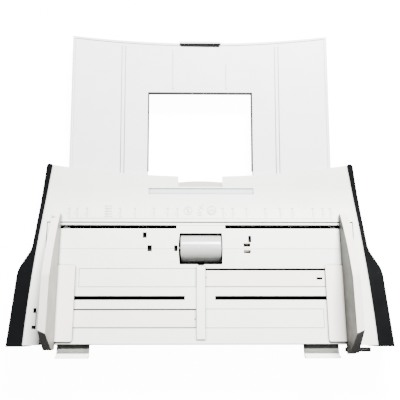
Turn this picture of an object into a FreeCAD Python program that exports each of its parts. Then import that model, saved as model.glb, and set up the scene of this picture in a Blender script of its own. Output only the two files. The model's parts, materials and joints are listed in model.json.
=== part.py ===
import FreeCAD, Part
import math
import os

from FreeCAD import Placement, Rotation, Vector

# Paper input chute of a large-format sheet-fed scanner, lying on its back.
# Units are millimetres.  +X is to the right, +Y runs up the chute from the feed end to the
# pull-out extension, +Z points away from the surface that the chute lies on.
# While a piece is built, Y = 0 is the joint line between the upper plate and the paper table.
# Two frames are used: the chute frame just described, and the table frame, which is turned
# about X through the joint line so that its Z = 0 is the paper table's top surface.

# ---------------------------------------------------------------- driving dimensions
TABLE_TILT = 10.0                 # degrees, the paper table rises towards the feed end
JOINT_Z = 32.0                    # height of the joint line above the floor
Y_SHIFT = -36.2                  # moves the finished pieces so that the box is centred on Y
SKIN = 2.5                        # wall thickness of the mouldings
GAP = 0.3                         # clearance between pieces that move past each other
EASE = 0.05                       # clearance between pieces that are fixed together

# upper plate and body
BEND_Y = 26.6                     # where the plate turns from the table's slope to level
BEND_R = 180.0                    # radius of that bend
PLATE_SIDE_Y = 66.5               # top edge of the plate at its corners
PLATE_MID_Y = 53.0                # top edge of the plate at its middle
PLATE_SIDE_X = 169.5
BODY_MID_X, BODY_MID_Y = 184.0, -39.4
BODY_FRONT_X, BODY_FRONT_Y = 191.5, -137.2
BODY_LOW_Z = 4.6                  # lower edge of the cheeks, on the rear cover
TRIM_FRONT_Y = -138.8
TRIM_RISE, TRIM_BEVEL = 1.2, 1.4  # the trims stand above the plate and are bevelled outside
NOTCH_HALF, NOTCH_Y = 25.2, 41.2
BAND_LEFT, BAND_RIGHT, BAND_LOW_Y, BAND_HIGH_Y = -59.3, 61.1, 32.4, 39.3
BAND_DEPTH = 1.0

# paper table, in the table frame
TABLE_HALF = 172.4
TABLE_TOP_Y, TABLE_FRONT_Y = -1.4, -138.0
LEDGE_Z = 5.0                     # depth of the ledges that the table's screws go through
STRIP_INNER_X = 173.2             # inner edge of the body's side strips
WINDOW_HALF, WINDOW_LOW_Y, WINDOW_HIGH_Y = 23.7, -49.8, -13.5
LEFT_BOW, RIGHT_BOW = 1.3, 0.5     # the window's ends are bowed outwards by this much
UPPER_SLOT_Y, UPPER_SLOT_OUT = -6.0, 165.6
UPPER_SLOT_INS = {1: 27.8, -1: 27.0}        # inner ends, right and left
LOWER_SLOT_INS = {1: 15.8, -1: 17.4}
LOWER_SLOT_OUT = 160.0
SLOT_W = 4.5
STEP_LOW_Y, STEP_HIGH_Y, STEP_DEPTH = -36.4, -31.7, 0.35
OUTLINE_W, OUTLINE_DEPTH = 0.6, 0.5        # moulded outline over each covered channel

# rack and pinion, in the table frame
PINION_Y = -87.75
MODULE = 1.0
PINION_TEETH = 18
PINION_R = MODULE * PINION_TEETH / 2
CHANNEL_IN, CHANNEL_OUT = 12.05, 33.35      # channel edges, counted from the pinion's axis
LAND_SKIN = 1.2
ARM_TOP_Z, ARM_LOW_Z = -1.6, -4.1
TUNNEL_Z = -4.5                             # floor that both arms run on
BLOCK_HALF = 165.0
BLOCK_Z = -6.3
BACKLASH = 0.22
RIGHT_ARM_GAP, LEFT_ARM_GAP = 1.9, 1.2      # between an arm's outer edge and its channel
DIMPLE_X, DIMPLE_Y = 6.2, -64.6
RACK_IN = 7.6                     # inner side of the rack's tunnel, counted from the pinion's axis
POCKET_HALF = 11.9                # half side of the pinion's square pocket
CLIP_HALF = 5.6                   # half width of the flange on a guide's clip
OUTLINE_END = 134.5
# centre x, centre y, width, height of the sensor holes
SENSOR_HOLES = [(-62.7, -15.9, 4.4, 6.6), (-56.9, -31.2, 5.0, 7.0), (-27.6, -31.2, 4.0, 6.8),
                (55.4, -20.4, 3.4, 7.6), (52.2, -27.4, 7.6, 4.0), (52.4, -35.1, 7.8, 3.8)]
JIG_HOLE = (132.0, -65.4, 6.6, 2.6)         # the same, through the right-hand arm

# side guides, in the table frame
WALL_IN, WALL_OUT = 157.5, 166.5
BASE_IN = 138.5
BASE_HIGH_Y, BASE_LOW_Y = -51.4, -135.8
BASE_Z0, BASE_Z1 = 0.35, 2.35
RIGHT_TOE_Y, RIGHT_TOE_R = -150.6, 4.3       # the right-hand guide ends in a round nose
LEFT_TOE_Y, LEFT_TOE_R = -146.9, 1.2
TOE_Z = 14.6                      # height of the foremost point of a guide's end
FOOT_Z = -3.0
WALL_LOW_Z = 0.4                  # the wall stands this far above the table
TIP_R = 3.0                       # corner radius of a guide's thin end, in plan
STUD_X, STUD_YS, STUD_R = 148.0, (17.0, 28.5), 1.5
CLIP_X0, CLIP_X1 = 149.5, 155.5
SHOE_X0, SHOE_X1 = 159.2, 165.2
STRIP_MID, STRIP_HALF, STRIP_H = 0.2, 4.9, 1.6       # bridge strip between the arms' inner ends

# roller, in the table frame
ROLLER_X = 0.45                   # the roller's window stands slightly to the right
ROLLER_Y, ROLLER_Z, ROLLER_R, ROLLER_HALF = -28.8, -11.5, 15.9, 22.7
SHAFT_R = 3.0
BUSH_R = 5.0

# extension, in the chute frame
EXT_TOP_Z = 23.8
EXT_DEPTH = 9.5
EXT_SKIN = 2.2
EXT_HALF_TOP, EXT_HALF_LOW = 150.6, 151.6
EXT_CORNER_Y, EXT_MID_Y, EXT_LOW_Y = 224.0, 214.9, 22.0
EXT_WINDOW_HALF, EXT_WINDOW_Y = 61.0, 154.4
HANDLE_HALF = 22.8

# front beam and pivot pin; the pin's place is in the table frame
BEAM_FRONT_Y, BEAM_BACK_Y = -132.6, -130.2
BEAM_RIBS = (-163.0, -40.0, 0.0, 40.0, 163.0)
BEAM_RIB_Y = -119.0               # rear edge of the beam's ribs
PIN_Y, PIN_Z, PIN_R = -142.5, -10.6, 2.4

# rear cover, feet
COVER_Z0, COVER_Z1 = 2.0, 4.5
COVER_TOP_Y = 48.8
COVER_FRONT_Y = -134.0
COVER_RIBS = (-138.0, -104.0, -70.0, 70.0, 104.0, 138.0)
RIB_FRONT_Y = -126.0
LIP_Z = 14.0                      # top of the cover's upper wall and of the tongue behind the notch

TILT = math.radians(TABLE_TILT)
PLATE_Z = JOINT_Z - BEND_Y * math.tan(TILT)
BEND_TANGENT = BEND_R * math.tan(TILT / 2)
BEND_LOW_Y = BEND_Y - BEND_TANGENT * math.cos(TILT)
BEND_HIGH_Y = BEND_Y + BEND_TANGENT
HIGH = 140.0


# ---------------------------------------------------------------- helpers
def box(x0, x1, y0, y1, z0, z1):
    return Part.makeBox(x1 - x0, y1 - y0, z1 - z0, Vector(x0, y0, z0))


def cyl_x(x0, x1, y, z, r):
    return Part.makeCylinder(r, x1 - x0, Vector(x0, y, z), Vector(1, 0, 0))


def cyl_z(x, y, z0, z1, r):
    return Part.makeCylinder(r, z1 - z0, Vector(x, y, z0), Vector(0, 0, 1))


def side_prism(points, x0, x1):
    """A closed outline of (y, z) points, drawn out along X."""
    ring = [Vector(x0, y, z) for y, z in points]
    face = Part.Face(Part.makePolygon(ring + ring[:1]))
    return face.extrude(Vector(x1 - x0, 0, 0))


def plan_prism(edges, z0, z1):
    """A closed loop of edges drawn at Z = 0, drawn out along Z."""
    face = Part.Face(Part.Wire(Part.__sortEdges__(edges)))
    face.translate(Vector(0, 0, z0))
    return face.extrude(Vector(0, 0, z1 - z0))


def line(a, b):
    return Part.LineSegment(Vector(a[0], a[1], 0), Vector(b[0], b[1], 0)).toShape()


def arc(a, b, c):
    return Part.Arc(Vector(a[0], a[1], 0), Vector(b[0], b[1], 0), Vector(c[0], c[1], 0)).toShape()


def mirror_x(shape):
    return shape.mirror(Vector(0, 0, 0), Vector(1, 0, 0))


def both(shape):
    return shape.fuse(mirror_x(shape))


def tilted(shape):
    """Moves a shape from the table frame to the chute frame."""
    out = shape.copy()
    turn = Placement(Vector(0, 0, JOINT_Z), Rotation(Vector(1, 0, 0), -TABLE_TILT))
    out.Placement = turn.multiply(out.Placement)
    return out


def surface_z(y):
    """Height of the paper surface in the chute frame."""
    if y >= BEND_HIGH_Y:
        return PLATE_Z
    if y <= BEND_LOW_Y:
        return JOINT_Z - y * math.tan(TILT)
    return PLATE_Z + BEND_R - math.sqrt(BEND_R ** 2 - (BEND_HIGH_Y - y) ** 2)


def segment(a, b):
    return Part.LineSegment(a, b).toShape()


def surface_edges(x, offset, y0, y1):
    """The paper surface's profile from y0 to y1 at one X, raised by offset."""
    def at(y):
        return Vector(x, y, surface_z(y) + offset)

    low, high = max(y0, BEND_LOW_Y), min(y1, BEND_HIGH_Y)
    if low >= high:
        return [segment(at(y0), at(y1))]
    edges = [Part.Arc(at(low), at((low + high) / 2), at(high)).toShape()]
    if y0 < low:
        edges.append(segment(at(y0), at(low)))
    if y1 > high:
        edges.append(segment(at(high), at(y1)))
    return edges


def drawn_out(edges, length):
    face = Part.Face(Part.Wire(Part.__sortEdges__(edges)))
    return face.extrude(Vector(length, 0, 0))


def layer(top, bottom, y0, y1, half=230.0):
    """The space between two offsets of the paper surface."""
    edges = surface_edges(-half, top, y0, y1) + surface_edges(-half, bottom, y0, y1)
    for y in (y0, y1):
        edges.append(segment(Vector(-half, y, surface_z(y) + top), Vector(-half, y, surface_z(y) + bottom)))
    return drawn_out(edges, 2 * half)


def floor_to_surface(z0, top, y0, y1, half=230.0):
    """The space between a level and an offset of the paper surface."""
    edges = surface_edges(-half, top, y0, y1)
    for y in (y0, y1):
        edges.append(segment(Vector(-half, y, surface_z(y) + top), Vector(-half, y, z0)))
    edges.append(segment(Vector(-half, y0, z0), Vector(-half, y1, z0)))
    return drawn_out(edges, 2 * half)


def body_outline(inset):
    """Plan of the body: curved top edge, and sides that spread towards the feed end."""
    top = (PLATE_SIDE_X - inset, PLATE_SIDE_Y)
    mid = (BODY_MID_X - inset, BODY_MID_Y)
    low = (BODY_FRONT_X - inset, BODY_FRONT_Y)
    return [
        arc(top, mid, low),
        line(low, (-low[0], low[1])),
        arc((-low[0], low[1]), (-mid[0], mid[1]), (-top[0], top[1])),
        arc((-top[0], top[1]), (0, PLATE_MID_Y), top),
    ]


def body_half_width(y, inset=0.0):
    """Half width of the body's plan at a given Y, from the same three points."""
    (x0, y0), (x1, y1), (x2, y2) = (
        (PLATE_SIDE_X, PLATE_SIDE_Y), (BODY_MID_X, BODY_MID_Y), (BODY_FRONT_X, BODY_FRONT_Y))
    a = x0 * (y - y1) * (y - y2) / ((y0 - y1) * (y0 - y2))
    b = x1 * (y - y0) * (y - y2) / ((y1 - y0) * (y1 - y2))
    c = x2 * (y - y0) * (y - y1) / ((y2 - y0) * (y2 - y1))
    return a + b + c - inset


def screw(x, y, z, length, head_h):
    """A pan-head screw from below: z is its head's upper face, the shank points up."""
    head = cyl_z(x, y, z - head_h, z, 2.8)
    shank = cyl_z(x, y, z, z + length, 1.45)
    slot = box(x - 1.3, x + 1.3, y - 0.35, y + 0.35, z - head_h - 0.4, z - head_h + 0.4)
    return head.fuse(shank).cut(slot)


def group(shapes):
    return Part.makeCompound(shapes)


# ---------------------------------------------------------------- fastener places
COVER_SCREWS = [(x, y) for x in (-158.0, 158.0) for y in (-84.0, -40.0, 38.0)]
TABLE_SCREWS = [(x, y) for x in (-169.8, 169.8) for y in (-128.0, -40.0, -16.0)]
CRADLE_SCREWS = [(x, y) for x in (-32.0, 32.0) for y in (-43.0, -15.5)]
PLATE_SCREWS = [(x, PINION_Y + y) for x in (-19.5, 19.5) for y in (-9.0, 9.0)]
BOARD_SCREWS = [(42.0, -16.0), (64.0, -40.0)]
FEET = [(-150.0, 30.0), (150.0, 30.0), (-168.0, -118.0), (168.0, -118.0)]
BOSS_R = 3.6


# ---------------------------------------------------------------- fixed pieces
def make_chute_body():
    """Upper plate, side strips, cheeks and the ledges that carry the paper table."""
    plan = plan_prism(body_outline(0), 0, HIGH)
    skin = layer(0, -SKIN, BODY_FRONT_Y, PLATE_SIDE_Y + 1).common(plan)
    opening = tilted(box(-STRIP_INNER_X, STRIP_INNER_X, -200, 0, -30, 30))
    skin = skin.cut(opening)
    ring = plan.cut(plan_prism(body_outline(SKIN), 0, HIGH))
    cheeks = floor_to_surface(BODY_LOW_Z, -1, BODY_FRONT_Y, 48.0).common(ring)
    cheeks = cheeks.common(both(box(150, 230, BODY_FRONT_Y, 48, 0, HIGH)))
    bay = box(STRIP_INNER_X, 230, BODY_FRONT_Y, BODY_FRONT_Y + SKIN, 0, HIGH)
    cheeks = cheeks.fuse(floor_to_surface(BODY_LOW_Z, -1, BODY_FRONT_Y, 0).common(plan).common(both(bay)))
    side_wall = box(STRIP_INNER_X, STRIP_INNER_X + 2, TABLE_FRONT_Y + 2, 0, -14, -1)
    side_ledge = box(167.2, STRIP_INNER_X + 1, BEAM_BACK_Y + 2, 0, -LEDGE_Z, -SKIN)
    side_ledge = side_ledge.cut(box(TABLE_HALF - 0.3, STRIP_INNER_X, BEAM_BACK_Y + 2, -1, -4.2, 0))
    top_ledge = box(-STRIP_INNER_X, STRIP_INNER_X, -3, 2.5, -6.5, -SKIN)
    # both ledges are relieved under the joint line
    top_ledge = top_ledge.cut(box(-170, 170, TABLE_TOP_Y - 0.2, 0.4, -5.6, 0))
    ledges = both(side_wall.fuse(side_ledge)).fuse(top_ledge)
    body = skin.fuse(cheeks).fuse(tilted(ledges))
    for x, y in COVER_SCREWS:
        top = surface_z(y) - 1
        boss_x = math.copysign(body_half_width(y) - 7.5, x)
        body = body.fuse(cyl_z(boss_x, y, BODY_LOW_Z, top, BOSS_R))
        body = body.fuse(box(min(boss_x, boss_x * 1.04), max(boss_x, boss_x * 1.04), y - 1, y + 1,
                             BODY_LOW_Z, top))
    body = body.cut(box(-NOTCH_HALF, NOTCH_HALF, NOTCH_Y, 80, 0, HIGH))
    body = body.cut(box(BAND_LEFT, BAND_RIGHT, BAND_LOW_Y, BAND_HIGH_Y, PLATE_Z - BAND_DEPTH, HIGH))
    for x, y in COVER_SCREWS:
        boss_x = math.copysign(body_half_width(y) - 7.5, x)
        body = body.cut(cyl_z(boss_x, y, 0, 17, 1.5))
    for x, y in TABLE_SCREWS:
        body = body.cut(tilted(cyl_z(x, y, -20, 0, 1.6)))
    # inspection slit in the left strip
    slit = box(-179.0, -178.1, -119, -102, -9, 9)
    slit = slit.fuse(box(-182.0, -178.6, -104.4, -98.8, -9, 9))
    slit = slit.fuse(box(-182.8, -178.1, -121.9, -118.1, -9, 9))
    body = body.cut(tilted(slit))
    # relief line above the joint
    return body.cut(tilted(box(-150, 150, 3.3, 3.9, -0.25, 5)))


def make_side_trim():
    """Right-hand outer trim: narrow beside the plate, broad beside the paper table."""
    step = 0.15
    top_in = (PLATE_SIDE_X + step, PLATE_SIDE_Y)
    mid_in = (BODY_MID_X + step, BODY_MID_Y)
    low_in = (BODY_FRONT_X + step, BODY_FRONT_Y)

    def outline(inset, y_low):
        low = (209.3 - inset, y_low)
        hip = (203.4 - inset, -64.5)
        shoulder = (202.4 - inset, -57.8)
        flare_low = (200.2 - inset, -51.4)
        flare_high = (190.4 - inset, -35.0)
        neck_mid = (188.4 - inset, -29.5)
        neck = (187.4 - inset, -23.0)
        top_out = (176.6 - inset, PLATE_SIDE_Y - 2.0 - inset)
        return [
            arc(top_in, mid_in, low_in),
            line(low_in, (low_in[0], y_low)),
            line((low_in[0], y_low), low),
            line(low, hip),
            arc(hip, shoulder, flare_low),
            line(flare_low, flare_high),
            arc(flare_high, neck_mid, neck),
            line(neck, top_out),
            arc(top_out, (173.6 - inset, PLATE_SIDE_Y + 1.6 - inset), top_in),
        ]

    outer = plan_prism(outline(0, TRIM_FRONT_Y), 0, HIGH)
    solid = floor_to_surface(3.0, TRIM_RISE, TRIM_FRONT_Y, PLATE_SIDE_Y + 4).common(outer)
    hollow = floor_to_surface(1.0, TRIM_RISE - SKIN, TRIM_FRONT_Y + SKIN, 20.0).common(
        plan_prism(outline(SKIN, TRIM_FRONT_Y + SKIN), 0, HIGH))
    solid = solid.cut(hollow)

    def on_outer_rim(edge):
        ends = [v.Point for v in edge.Vertexes]
        mid = edge.valueAt((edge.FirstParameter + edge.LastParameter) / 2)
        on_top = all(abs(p.z - surface_z(p.y) - TRIM_RISE) < 0.05 for p in ends)
        across = abs(ends[0].y - ends[-1].y) < 0.01
        return on_top and not across and mid.x > body_half_width(min(mid.y, PLATE_SIDE_Y)) + 3

    return solid.makeChamfer(TRIM_BEVEL, [e for e in solid.Edges if on_outer_rim(e)])


def make_paper_table():
    """Flat paper bed with guide slots, arm channels, roller window and sensor holes."""
    plate = box(-TABLE_HALF, TABLE_HALF, TABLE_FRONT_Y, TABLE_TOP_Y, -SKIN, 0)
    y_low, y_high = PINION_Y - CHANNEL_OUT, PINION_Y + CHANNEL_OUT
    block = box(-BLOCK_HALF, BLOCK_HALF, y_low - 1.5, y_high + 1.5, BLOCK_Z, -1)
    lip = box(-TABLE_HALF, TABLE_HALF, TABLE_FRONT_Y, TABLE_FRONT_Y + 2, -5.4, 0)
    table = plate.fuse(block).fuse(lip)
    for side in (1, -1):
        # each arm's tunnel, open to the top on the side that the arm's guide stands on
        ys = sorted((PINION_Y + side * RACK_IN, PINION_Y + side * CHANNEL_OUT))
        table = table.cut(box(-BLOCK_HALF, BLOCK_HALF, ys[0], ys[1], TUNNEL_Z, -LAND_SKIN))
        xs = sorted((side * STRIP_HALF, side * BLOCK_HALF))
        ys = sorted((PINION_Y + side * CHANNEL_IN, PINION_Y + side * CHANNEL_OUT))
        table = table.cut(box(xs[0], xs[1], ys[0], ys[1], TUNNEL_Z, 1))
        # moulded outline over the covered stretch
        xs = sorted((-side * STRIP_HALF, -side * OUTLINE_END))
        outer = box(xs[0], xs[1], ys[0], ys[1], -OUTLINE_DEPTH, 1)
        inner = box(xs[0] + OUTLINE_W, xs[1] - OUTLINE_W, ys[0] + OUTLINE_W, ys[1] - OUTLINE_W, -1, 1)
        table = table.cut(outer.cut(inner))
    table = table.cut(box(-BLOCK_HALF, BLOCK_HALF, PINION_Y - CLIP_HALF - 0.6, PINION_Y + CLIP_HALF + 0.6,
                          TUNNEL_Z, -LAND_SKIN))
    table = table.cut(box(-POCKET_HALF, POCKET_HALF, PINION_Y - POCKET_HALF, PINION_Y + POCKET_HALF,
                          BLOCK_Z - 1, -LAND_SKIN))
    # slots that the guides' tabs run in
    for side in (1, -1):
        xs = sorted((side * LOWER_SLOT_INS[side], side * LOWER_SLOT_OUT))
        table = table.cut(box(xs[0], xs[1], PINION_Y - SLOT_W / 2, PINION_Y + SLOT_W / 2, BLOCK_Z - 1, 1))
        xs = sorted((side * UPPER_SLOT_INS[side], side * UPPER_SLOT_OUT))
        table = table.cut(box(xs[0], xs[1], UPPER_SLOT_Y - SLOT_W / 2, UPPER_SLOT_Y + SLOT_W / 2, -4, 1))
    # roller window with a small notch below it, and two shallow steps
    left, right = ROLLER_X - WINDOW_HALF, ROLLER_X + WINDOW_HALF
    mid_y = (WINDOW_LOW_Y + WINDOW_HIGH_Y) / 2
    window = [line((left, WINDOW_LOW_Y), (right, WINDOW_LOW_Y)),
              line((left, WINDOW_HIGH_Y), (right, WINDOW_HIGH_Y)),
              arc((left, WINDOW_LOW_Y), (left - LEFT_BOW, mid_y), (left, WINDOW_HIGH_Y)),
              arc((right, WINDOW_LOW_Y), (right + RIGHT_BOW, mid_y), (right, WINDOW_HIGH_Y))]
    table = table.cut(plan_prism(window, -4, 1))
    table = table.cut(box(ROLLER_X - 3.4, ROLLER_X + 3.4, WINDOW_LOW_Y - 1.1, WINDOW_LOW_Y + 1, -4, 1))
    table = table.cut(box(-156, 156, STEP_LOW_Y, STEP_HIGH_Y, -STEP_DEPTH, 1))
    table = table.cut(box(-UPPER_SLOT_INS[-1], UPPER_SLOT_INS[1], -10.2, -4.2, -STEP_DEPTH, 1))
    for x, y, w, h in SENSOR_HOLES:
        table = table.cut(box(x - w / 2, x + w / 2, y - h / 2, y + h / 2, -4, 1))
    # blind screw holes, and bosses for the sensor board
    for x, y in TABLE_SCREWS:
        table = table.cut(cyl_z(x, y, -3, -0.8, 1.5))
    for x, y in CRADLE_SCREWS:
        table = table.cut(cyl_z(ROLLER_X + x, y, -3, -0.9, 1.5))
    for x, y in PLATE_SCREWS:
        table = table.cut(cyl_z(x, y, BLOCK_Z - 1, TUNNEL_Z - 0.2, 1.5))
    for x, y in BOARD_SCREWS:
        table = table.fuse(cyl_z(x, y, -8, -1, 2.8)).cut(cyl_z(x, y, -9, -3, 1.5))
    return table


def make_centre_strip():
    """Raised bridge strip that covers the inner ends of both rack arms."""
    strip = box(STRIP_MID - STRIP_HALF, STRIP_MID + STRIP_HALF, -133.7, -51.9, 0, STRIP_H)
    rim = [e for e in strip.Edges if all(abs(v.Z - STRIP_H) < 1e-6 for v in e.Vertexes)]
    return strip.makeChamfer(0.5, rim)


def at_roller(shape):
    """Moves a shape built about X = 0 in the table frame to the roller's place."""
    out = shape.copy()
    out.translate(Vector(ROLLER_X, 0, 0))
    return tilted(out)


def make_roller_cradle():
    """Box under the window that carries the roller's shaft, in the chute frame."""
    tub = box(-26.4, 26.4, -52.3, -9.3, -30.2, -SKIN)
    tub = tub.cut(box(-24.4, 24.4, -50.2, -11.4, -28.3, 0))
    flange = box(26, 36, -47.6, -38.6, -5, -SKIN).fuse(box(26, 36, -19.8, -11.0, -5, -SKIN))
    tub = tub.fuse(both(flange))
    tub = tub.cut(cyl_x(-40, 40, ROLLER_Y, ROLLER_Z, BUSH_R + EASE))
    for x, y in CRADLE_SCREWS:
        tub = tub.cut(cyl_z(x, y, -9, 0, 1.55))
    # the tub's floor is flattened where it comes near the rear cover
    return at_roller(tub).common(box(-60, 60, -80, 20, COVER_Z1 + 0.2, HIGH))


def make_roller_bush():
    """Right-hand flanged bush, pressed into the cradle's wall."""
    bush = cyl_x(24.4, 27.0, ROLLER_Y, ROLLER_Z, BUSH_R)
    bush = bush.fuse(cyl_x(26.45, 28.0, ROLLER_Y, ROLLER_Z, BUSH_R + 1.4))
    return bush.cut(cyl_x(20, 40, ROLLER_Y, ROLLER_Z, SHAFT_R + EASE))


def make_pinion_plate():
    """Plate under the table that closes the pinion's pocket."""
    plate = box(-24, 24, PINION_Y - 13.5, PINION_Y + 13.5, BLOCK_Z - 2, BLOCK_Z)
    boss = POCKET_HALF - 0.2
    plate = plate.fuse(box(-boss, boss, PINION_Y - boss, PINION_Y + boss, BLOCK_Z - 1, TUNNEL_Z))
    plate = plate.cut(cyl_z(0, PINION_Y, -12, 0, 2.5 + EASE))
    for x, y in PLATE_SCREWS:
        plate = plate.cut(cyl_z(x, y, -12, 0, 1.55))
    return plate


def make_pinion_axle():
    """Shouldered axle stud, riveted into the plate."""
    stud = cyl_z(0, PINION_Y, BLOCK_Z - 2, -1.5, 2.5)
    return stud.fuse(cyl_z(0, PINION_Y, BLOCK_Z - 3.4, BLOCK_Z - 2, 4.5))


def make_pinion_washer():
    ring = cyl_z(0, PINION_Y, TUNNEL_Z, TUNNEL_Z + 0.3, 5.0)
    return ring.cut(cyl_z(0, PINION_Y, -12, 0, 2.5 + EASE))


def make_sensor_board():
    """Circuit board with the paper sensors, on two bosses under the table."""
    board = box(38, 68, -45, -11, -9.6, -8)
    for x, y in BOARD_SCREWS:
        board = board.cut(cyl_z(x, y, -12, 0, 1.55))
    return board


def make_sensor_blocks():
    """Three reflective sensors on the board and three under the left-hand holes."""
    right = [(53.8, 57.0, -23.4, -17.4), (49.4, 55.8, -29.0, -25.8), (49.6, 56.0, -36.8, -34.0)]
    left = [(-66.0, -60.0, -20.5, -16.4), (-60.4, -53.6, -36.0, -31.6), (-31.0, -28.2, -36.0, -31.2)]
    blocks = [box(x0, x1, y0, y1, -8, -4.6) for x0, x1, y0, y1 in right]
    blocks += [box(x0, x1, y0, y1, -6.5, -SKIN - EASE) for x0, x1, y0, y1 in left]
    return group(blocks)


def make_front_beam():
    """Cross beam under the table's front edge, with the lug for the pivot pin."""
    half = STRIP_INNER_X - EASE
    wall = side_prism([(BEAM_FRONT_Y, COVER_Z1 + EASE), (BEAM_BACK_Y, COVER_Z1 + EASE),
                       (BEAM_BACK_Y, surface_z(BEAM_BACK_Y) - 4),
                       (BEAM_FRONT_Y, surface_z(BEAM_FRONT_Y) - 4)], -half, half)
    cap = tilted(box(-166, 166, TABLE_FRONT_Y + 2.1, -129.5, -5, -SKIN))
    beam = wall.fuse(cap)
    for x in BEAM_RIBS:
        beam = beam.fuse(side_prism([(BEAM_BACK_Y - 0.2, COVER_Z1 + EASE), (BEAM_RIB_Y, COVER_Z1 + EASE),
                                     (BEAM_BACK_Y - 0.2, surface_z(BEAM_BACK_Y) - 6)], x - 1, x + 1))
    lug = tilted(box(160, 168.5, PIN_Y - 4.2, -131, PIN_Z - 4.4, PIN_Z + 4.4))
    beam = beam.fuse(lug)
    return beam.cut(tilted(cyl_x(140, 200, PIN_Y, PIN_Z, PIN_R)))


def make_hook(x0, x1):
    """Curled hanging hook, drawn out along X."""
    y_in, z_low, r, t = -141.0, -16.6, 9.2, 2.6
    tip = -4.4
    cy, cz = y_in, z_low + r + t

    def at(angle, radius):
        a = math.radians(angle)
        return Vector(0, cy - radius * math.cos(a), cz - radius * math.sin(a))

    start_low = Vector(0, -134.0, cz - r - t)
    start_high = Vector(0, -134.0, cz - r)
    edges = [
        Part.LineSegment(start_low, at(90, r + t)).toShape(),
        Part.Arc(at(90, r + t), at(45, r + t), at(0, r + t)).toShape(),
        Part.LineSegment(at(0, r + t), Vector(0, cy - r - t, tip)).toShape(),
        Part.LineSegment(Vector(0, cy - r - t, tip), Vector(0, cy - r, tip)).toShape(),
        Part.LineSegment(Vector(0, cy - r, tip), at(0, r)).toShape(),
        Part.Arc(at(0, r), at(45, r), at(90, r)).toShape(),
        Part.LineSegment(at(90, r), start_high).toShape(),
        Part.LineSegment(start_high, start_low).toShape(),
    ]
    face = Part.Face(Part.Wire(edges))
    face.translate(Vector(x0, 0, 0))
    hook = face.extrude(Vector(x1 - x0, 0, 0))
    root = box(x0, x1, -134.6, -133.9, -28, -8).fuse(box(x0, x1, -136, -133.9, cz - r - t, cz - r + 2))
    hook = tilted(hook.fuse(root))
    # the root plate is trimmed to lie on the beam's upright front face
    return hook.cut(box(-300, 300, BEAM_FRONT_Y, 0, 0, HIGH))


def make_pivot_pin():
    """Steel pin that the chute swings on, with a collar outside its lug."""
    pin = cyl_x(157.6, 185, PIN_Y, PIN_Z, PIN_R)
    return tilted(pin.fuse(cyl_x(168.5 + EASE, 172.2, PIN_Y, PIN_Z, PIN_R + 1.3)))


def make_rear_cover():
    """Flat floor of the chute, with a raised wall and tongue behind the plate's notch."""
    cover = plan_prism(body_outline(0.4), COVER_Z0, COVER_Z1)
    cover = cover.common(box(-220, 220, COVER_FRONT_Y, COVER_TOP_Y, 0, HIGH))
    cover = cover.fuse(box(-60, 60, COVER_TOP_Y - SKIN, COVER_TOP_Y, COVER_Z0, LIP_Z))
    low, high, half = NOTCH_Y - 3, COVER_TOP_Y + 0.1, NOTCH_HALF + 0.3
    lip = plan_prism([line((-half, low), (half, low)), line((half, low), (half, high)),
                      arc((half, high), (0, high + 1.3), (-half, high)), line((-half, high), (-half, low))],
                     LIP_Z - 1.6, LIP_Z)
    cover = cover.fuse(lip)
    for x, y in COVER_SCREWS:
        boss_x = math.copysign(body_half_width(y) - 7.5, x)
        cover = cover.cut(cyl_z(boss_x, y, 0, 10, 1.55))
    return cover


def make_slide_strips():
    """Six low-friction strips on the rear cover that the extension slides on."""
    z0, z1 = COVER_Z1 + EASE, EXT_TOP_Z - EXT_DEPTH - GAP
    return group([box(x - 1, x + 1, RIB_FRONT_Y, 44, z0, z1) for x in COVER_RIBS])


def make_light_shield():
    """Thin black sheet on the cover's inner face: a dark background for slots and sensors."""
    z0, z1 = COVER_Z1 + EASE, COVER_Z1 + 0.4
    sheet = box(-151.4, 151.4, BEAM_BACK_Y + 1, 2, z0, z1)
    for x in COVER_RIBS:
        sheet = sheet.cut(box(x - 1.4, x + 1.4, RIB_FRONT_Y - 0.4, 3, z0, z1))
    for x in BEAM_RIBS:
        sheet = sheet.cut(box(x - 1.4, x + 1.4, BEAM_FRONT_Y, BEAM_RIB_Y + 0.4, z0, z1))
    # clear of the roller's cradle
    sheet = sheet.cut(box(-30, 30, -64, -8, z0, z1))
    side = box(160, 183, -129, -91, z0, z1).cut(box(161, 165, -131, BEAM_RIB_Y + 0.4, z0, z1))
    return group([sheet, side, mirror_x(side)])


def make_extension_rail():
    """Right-hand rail that holds the extension's edge."""
    x0 = EXT_HALF_LOW + GAP
    web = box(x0, x0 + 2.2, -126, 44, COVER_Z1 + EASE, PLATE_Z - SKIN - 0.1)
    lip = box(x0 - 3.5, x0 + 2.2, -126, -6, EXT_TOP_Z + 1.0 + GAP, EXT_TOP_Z + 2.8)
    web = web.fuse(box(x0, x0 + 2.2, -126, -6, COVER_Z1 + EASE, EXT_TOP_Z + 2.8)).fuse(lip)
    foot = box(x0, x0 + 7, -126, 44, COVER_Z1 + EASE, COVER_Z1 + 2)
    rail = web.fuse(foot)
    for x, y in COVER_SCREWS:
        boss_x = body_half_width(y) - 7.5
        rail = rail.cut(cyl_z(boss_x, y, 0, HIGH, BOSS_R + 0.3))
    return rail


def make_click_spring():
    """Right-hand leaf spring that steadies the extension."""
    z = COVER_Z1
    leaf = [(4, z), (16, z), (30, z + 12.2), (34, z + 12.2), (42, z + 5.0), (42, z + 5.8),
            (34.3, z + 12.9), (29.7, z + 12.9), (15.8, z + 0.7), (4, z + 0.7)]
    return side_prism(leaf, 82, 92)


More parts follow.
